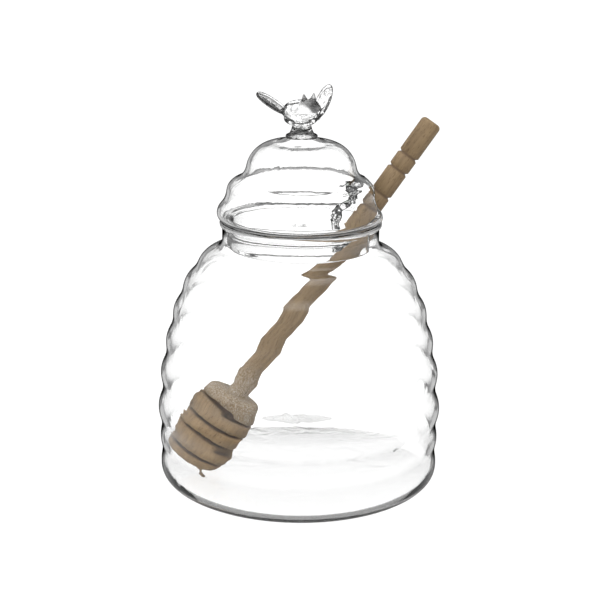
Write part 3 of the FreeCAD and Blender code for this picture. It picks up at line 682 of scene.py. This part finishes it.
bee = make_piece("bee_glass", bm)
melt(bee, BEE_GRAIN)
glaze(bee)

# %% Choose the bee's glass: frosted on the head and its points, drawn elsewhere
HEAD_SPREAD = 1.15     # the frost ends just past the head's own surface
POINTS_ABOVE = HEAD_HALF.z - 1

for face in bee.data.polygons:
    middle = face.center / MM - BEE_HEAD
    over_head = abs(middle.x) < HEAD_HALF.x and abs(middle.y) < POINT_DEPTH
    on_point = middle.z > POINTS_ABOVE and over_head
    on_head = sum((offset / half) ** 2 for offset, half in zip(middle, HEAD_HALF)) < HEAD_SPREAD
    face.material_index = FROSTED if on_head or on_point else DRAWN
print("bee", len(bee.data.polygons), "faces")

# %% [markdown]
# ## The notch's melted edge
#
# Where the notch was cut, the flame has run the edge back into a thick, uneven bead, with lumps
# where glass gathered and points where it was pulled away. The bead is a bevelled curve laid along
# the notch's own line. A ray cast outwards from the lid's axis finds the glass at each of its
# points, so the bead sits in the middle of the wall whatever the lid's shape is there.

# %% Its lumps and points, in millimetres
EDGE_GRAIN, BEAD_ROUNDNESS = 0.3 * MM, 6     # the remesh's grid, and the bead's steps
# number of the point of the line it sits on, half sizes, and how far it sags from there
LUMPS = [
    (12, (2.0, 2.0, 2.5), (0, 0, 0)), (16, (2.0, 2.0, 2.4), (0, 0, 0)),
    (19, (1.9, 1.9, 2.2), (-0.8, 0.5, 0)), (20, (1.3, 1.3, 1.7), (-1.6, 0.8, -1.0)),
]
PULLED_FROM = 12
# how far each point was pulled, and how thick it starts
PULLED = [((-7.0, 5.2, -3.6), 1.5), ((-5.4, 3.0, -0.6), 1.2), ((-3.6, 3.6, -5.0), 1.4)]

# %% Lay the bead along the line
facing_out = Matrix.Rotation(math.radians(NOTCH_TURN), 3, "Z")
outwards = facing_out @ Vector((1, 0, 0))
places = []
for across, up, _ in EDGE:
    _, inner_face, _, _ = whole_lid.ray_cast(facing_out @ Vector((0, across, up)) * MM, outwards)
    places.append(inner_face + outwards * LID_WALL / 2 * MM)
bpy.data.objects.remove(whole_lid)

curve = bpy.data.curves.new("melted_edge", "CURVE")
curve.dimensions, curve.bevel_depth, curve.bevel_resolution = "3D", MM, BEAD_ROUNDNESS
curve.use_fill_caps = True
line = curve.splines.new("NURBS")
line.points.add(len(places) - 1)
for knot, place, (_, _, thickness) in zip(line.points, places, EDGE):
    knot.co = (*place, 1)
    knot.radius = thickness
line.order_u, line.use_endpoint_u = 3, True
bead = bpy.data.objects.new("melted_edge", curve)
bpy.context.scene.collection.objects.link(bead)
bm = bmesh.new()
bm.from_mesh(shaped_mesh(bead))
bmesh.ops.scale(bm, vec=(1 / MM,) * 3, verts=bm.verts)
bpy.data.objects.remove(bead)

# %% Add its lumps and points, and melt them together
pulled_from = places[PULLED_FROM] / MM
for pull_away, thick in PULLED:
    draw_point(bm, pulled_from, pulled_from + Vector(pull_away), thick)
for number, half_sizes, sag in LUMPS:
    gather(bm, half_sizes, places[number] / MM + Vector(sag))
melted = make_piece("melted_edge", bm)
melt(melted, EDGE_GRAIN)
glaze(melted)
for face in melted.data.polygons:
    face.material_index = MELTED

# %% [markdown]
# ## Joining the lid
#
# On the real lid the bee, the stem, the dome and the melted edge are one piece of glass, with no
# surface where they meet. A surface left inside would bend the light again, so both are joined
# with an exact union, which takes away everything inside. The stem's root was drawn with the bee
# and gets the same glass.

# %% Join the bee and the melted edge to the lid
DRAWN_DEPTH, DRAWN_RADIUS = 5.5, 5.5     # mm of the stem's root

for face in lid.data.polygons:
    middle = face.center / MM
    in_root = middle.z > flare[1] - DRAWN_DEPTH and middle.to_2d().length < DRAWN_RADIUS
    face.material_index = DRAWN if in_root else PLAIN
for part in (bee, melted):
    join = lid.modifiers.new("join", "BOOLEAN")
    join.operation, join.solver, join.object = "UNION", "EXACT", part
    settle(lid)
    bpy.data.objects.remove(part)
    lid.data.shade_smooth()
print("lid with its bee:", len(lid.data.polygons), "faces")

# %% [markdown]
# ## Wood
#
# Beech is pale brown with short darker flecks along its fibres. This stick is bare, dry and a
# little worn: its colour drifts from place to place. Pale specks where the handle meets the head
# are a painted reflection, the head is painted paler as painted light, and the bottoms of the cuts
# are painted dark as painted shade. All of it is noise in the wood's own coordinates. A Mapping
# node turns them to lie along the leaning dipper, and stretching them there makes grain.

# %% The wood's grain, tones and places
# waves to a metre across the fibres and along them, and how many finer layers they carry
STREAKS, CLOUDS, FLECKS, REFLECTION_SPECKS = (900, 45, 3), (260, 70, 3), (2300, 520, 2), (2600, 2600, 2)
STREAK_TONES = [
    (0.25, (0.225, 0.150, 0.076)), (0.5, (0.275, 0.188, 0.098)), (0.75, (0.32, 0.226, 0.120)),
]
CLOUD_TONES = [(0.3, (0.76, 0.74, 0.72)), (0.65, 1.0)]
FLECK_TONES = [(0.56, 1.0), (0.70, (0.62, 0.57, 0.52))]
# painted reflection: pale specks where the handle meets the head, and their colour
REFLECTION_SPECK_TONES, PAINTED_REFLECTION = [(0.44, 0.0), (0.60, 0.85)], (0.50, 0.45, 0.38, 1)
# painted shade for the bottoms of the cuts, and painted light that brightens the head
PAINTED_CUT_SHADE, HEAD_PAINTED_LIGHT = (0.135, 0.082, 0.046, 1), (1.36, 1.30, 1.18, 1)
WOOD_ROUGHNESS, GRAIN_STRENGTH, GRAIN_DEPTH = 0.62, 0.35, 0.2 * MM
# places along the dipper, in millimetres from its foot: where each starts and where it is full
REFLECTION_ABOVE, REFLECTION_BELOW, PAINTED_LIGHT_FROM = (52, 30), (22, 30), (34, 12)


def grain(tree, place, waves):
    """Noise stretched along the wood's fibres."""
    across, along, layers = waves
    stretch = add(tree, "VectorMath", {0: place, 1: (across, across, along)}, operation="MULTIPLY")
    noise = add(tree, "TexNoise", {"Vector": stretch.outputs[0], "Scale": 1.0, "Detail": layers})
    return noise.outputs["Fac"]


# %% Wood
def bare_beech(name):
    """Beech with its grain, a painted reflection where the handle meets the head, painted light on its
    head and painted shade in its cuts.
    """
    material, tree = new_material(name)
    place = add(tree, "Mapping", {
        "Vector": add(tree, "TexCoord").outputs["Object"],
        "Location": DIPPER_FOOT * MM, "Rotation": (0, DIPPER_LEAN, DIPPER_TURN),
    }, vector_type="TEXTURE").outputs["Vector"]
    from_foot = add(tree, "SeparateXYZ", {0: place}).outputs["Z"]
    streaks = grain(tree, place, STREAKS)
    colour = tones(tree, streaks, STREAK_TONES)
    clouds = tones(tree, grain(tree, place, CLOUDS), CLOUD_TONES)
    colour = blend(tree, "MULTIPLY", 1.0, colour, clouds)
    flecks = tones(tree, grain(tree, place, FLECKS), FLECK_TONES)
    colour = blend(tree, "MULTIPLY", 1.0, colour, flecks)

    # painted reflection: pale specks mixed into the colour where the handle meets the head
    reflection_specks = tones(tree, grain(tree, place, REFLECTION_SPECKS), REFLECTION_SPECK_TONES)
    above, below = [
        fade(tree, from_foot, start * MM, end * MM) for start, end in (REFLECTION_ABOVE, REFLECTION_BELOW)
    ]
    reflection_band = calculate(tree, "MULTIPLY", above, below)
    colour = blend(tree, "MIX", calculate(tree, "MULTIPLY", reflection_band, reflection_specks), colour, PAINTED_REFLECTION)

    # painted light: the head's colour is brightened to make up for the light it loses behind the glass
    on_head = fade(tree, from_foot, PAINTED_LIGHT_FROM[0] * MM, PAINTED_LIGHT_FROM[1] * MM)
    lit_head = blend(tree, "MULTIPLY", 1.0, colour, HEAD_PAINTED_LIGHT)
    colour = blend(tree, "MIX", on_head, colour, lit_head)
    # painted shade in the bottoms of the cuts
    shade_in_cuts = add(tree, "Attribute", attribute_name="cut_shade").outputs["Fac"]
    colour = blend(tree, "MIX", shade_in_cuts, colour, PAINTED_CUT_SHADE)

    bump = add(tree, "Bump", {
        "Strength": GRAIN_STRENGTH, "Distance": GRAIN_DEPTH, "Height": streaks,
    })
    shader = add(tree, "BsdfPrincipled", {
        "Base Color": colour, "Roughness": WOOD_ROUGHNESS, "Normal": bump.outputs["Normal"],
    })
    add(tree, "OutputMaterial", {"Surface": shader.outputs["BSDF"]})
    return material


dipper.data.materials.append(bare_beech("beech"))
print("finishes:", [material.name for material in bpy.data.materials])

# %% [markdown]
# ## Standing in for the frame's pieces
#
# The lid and the dipper only rest, so all three pieces ride on the one body. Each says which piece
# of the frame it stands in for.

# %% Ride
for piece, node, slot in (
    (jar, "jar", "clear_glass"), (lid, "lid", "lid_glass"), (dipper, "dipper", "beech"),
):
    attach(piece, "root")
    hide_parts(node)
    print(piece.name, "stands in for", node)

# %% [markdown]
# ## The studio
#
# Clear glass has no colour of its own: it shows the room. In an evenly white room it would all but
# vanish, so it gets a bright field behind it and something darker for its surface to mirror.
# Light Path says what kind of ray is asking, so the world and
# the floor can answer each in its turn: plain white for the camera, a little over white for a ray
# that has come through glass and lost some light there, less for one that was turned back inside
# the glass, and a dim room with a softbox overhead for a mirrored one. A ray that has come through
# glass counts as glossy too, so a mirrored one is glossy and not transmitted. What's left lights
# the wood, and comes from one side, so that it looks round.

# %% What a ray sees
SEEN_PLAINLY, SEEN_THROUGH_GLASS, SEEN_IN_GLOSS, LOST_INSIDE_GLASS = 1.0, 1.30, 0.55, 1.05


def what_is_seen(tree, path):
    """The level of the white for a ray, 1 if it sees or 0 if it lights, and 1 if it's mirrored."""
    camera_ray, through_ray = path.outputs["Is Camera Ray"], path.outputs["Is Transmission Ray"]
    turned_back = calculate(tree, "MINIMUM", path.outputs["Glossy Depth"], 1.0)
    through = calculate(tree, "MULTIPLY_ADD", turned_back, -LOST_INSIDE_GLASS, SEEN_THROUGH_GLASS)
    through = calculate(tree, "MULTIPLY", through, through_ray)
    mirrored = calculate(tree, "SUBTRACT", path.outputs["Is Glossy Ray"], through_ray)
    mirrored = calculate(tree, "MAXIMUM", mirrored, 0.0)
    white = calculate(tree, "MULTIPLY_ADD", mirrored, SEEN_IN_GLOSS, through)
    white = calculate(tree, "MULTIPLY_ADD", camera_ray, SEEN_PLAINLY, white)
    straight = calculate(tree, "LESS_THAN", path.outputs["Diffuse Depth"], 0.5)
    kinds = calculate(tree, "ADD", calculate(tree, "ADD", mirrored, through_ray), camera_ray)
    return white, calculate(tree, "MULTIPLY", kinds, straight), mirrored


# %% The room
LIGHT_FROM = Vector((-0.45, -0.5, 0.74))
LEAST_LIGHT, MOST_LIGHT, LOST_THROUGH_GLASS = 0.10, 1.60, 0.65
SOFTBOX_EDGE, SOFTBOX_LEVEL = 0.75, 5.0

scene = bpy.context.scene
scene.view_settings.view_transform = "Standard"
world = bpy.data.worlds.new("studio")
scene.world = world
world.use_nodes = True
tree = world.node_tree
tree.nodes.clear()
direction = add(tree, "TexCoord").outputs["Generated"]
path = add(tree, "LightPath")

towards_light = add(tree, "VectorMath", {0: direction, 1: LIGHT_FROM}, operation="DOT_PRODUCT")
half = (MOST_LIGHT - LEAST_LIGHT) / 2
light = calculate(tree, "MULTIPLY_ADD", towards_light.outputs["Value"], half, LEAST_LIGHT + half)
behind_glass = calculate(tree, "MINIMUM", path.outputs["Transmission Depth"], 1.0)
made_up = calculate(tree, "MULTIPLY_ADD", behind_glass, LOST_THROUGH_GLASS, 1.0)
light = calculate(tree, "MULTIPLY", light, made_up)

upward = add(tree, "SeparateXYZ", {0: direction}).outputs["Z"]
softbox = fade(tree, upward, SOFTBOX_EDGE, 1.0, SOFTBOX_LEVEL)
white, seen, mirrored = what_is_seen(tree, path)
shine = calculate(tree, "MULTIPLY_ADD", softbox, mirrored, 1.0)
white = calculate(tree, "MULTIPLY", white, shine)

lights_only = calculate(tree, "SUBTRACT", 1.0, seen)
lighting = calculate(tree, "MULTIPLY", light, lights_only)
strength = calculate(tree, "ADD", calculate(tree, "MULTIPLY", white, seen), lighting)
background = add(tree, "Background", {"Color": (1, 1, 1, 1), "Strength": strength})
add(tree, "OutputWorld", {"Surface": background.outputs["Background"]})
print("the light's level goes from", LEAST_LIGHT, "to", MOST_LIGHT)

# %% [markdown]
# ## The floor
#
# The table is a wide disc, just under the pot so that the two never share a plane. It shows the
# same white as the room, and a little grey matt under the white lets it keep the pot's shadow.

# %% The floor
FLOOR_TONE, FLOOR_BOUNCE, FLOOR_MATT = 0.92, 0.55, 0.16
FLOOR_RADIUS, FLOOR_DROP = 6, 0.2 * MM     # metres
FLOOR_SIDES = 64

bm = bmesh.new()
bmesh.ops.create_circle(bm, cap_ends=True, segments=FLOOR_SIDES, radius=FLOOR_RADIUS)
bmesh.ops.translate(bm, vec=(0, 0, -FLOOR_DROP), verts=bm.verts)
floor = make_piece("floor", bm, 1.0)
pale, tree = new_material("pale_floor")
white, seen, _ = what_is_seen(tree, add(tree, "LightPath"))
bounce = calculate(tree, "SUBTRACT", 1.0, seen)
white = calculate(tree, "MULTIPLY", white, seen)
glow = add(tree, "Emission", {
    "Color": (FLOOR_TONE, FLOOR_TONE, FLOOR_TONE, 1),
    "Strength": calculate(tree, "MULTIPLY_ADD", bounce, FLOOR_BOUNCE, white),
})
matt = add(tree, "BsdfDiffuse", {"Color": (FLOOR_MATT, FLOOR_MATT, FLOOR_MATT, 1)})
both = add(tree, "AddShader", {0: matt.outputs["BSDF"], 1: glow.outputs["Emission"]})
add(tree, "OutputMaterial", {"Surface": both.outputs["Shader"]})
floor.data.materials.append(pale)

# %% [markdown]
# ## The camera
#
# A long lens from a little above shows the pot as one sees it across a table: the mouth is a thin
# ellipse, and the upright walls stay almost parallel.

# %% The camera
LENS, SENSOR = 96.0, 36.0     # mm
CAMERA_DISTANCE, CAMERA_RISE, CAMERA_ROLL = 0.600, math.radians(17.29), math.radians(0.583)
TARGET = Vector((0, 0, 0.06844))

data = bpy.data.cameras.new("camera")
data.lens, data.sensor_width = LENS, SENSOR
camera = bpy.data.objects.new("camera", data)
scene.collection.objects.link(camera)
away = Vector((0, -math.cos(CAMERA_RISE), math.sin(CAMERA_RISE)))
camera.location = TARGET + CAMERA_DISTANCE * away
aim = (TARGET - camera.location).to_track_quat("-Z", "Y").to_matrix()
camera.rotation_euler = (aim @ Matrix.Rotation(CAMERA_ROLL, 3, "Z")).to_euler()
scene.camera = camera
print("camera", round(CAMERA_DISTANCE, 2), "m away")
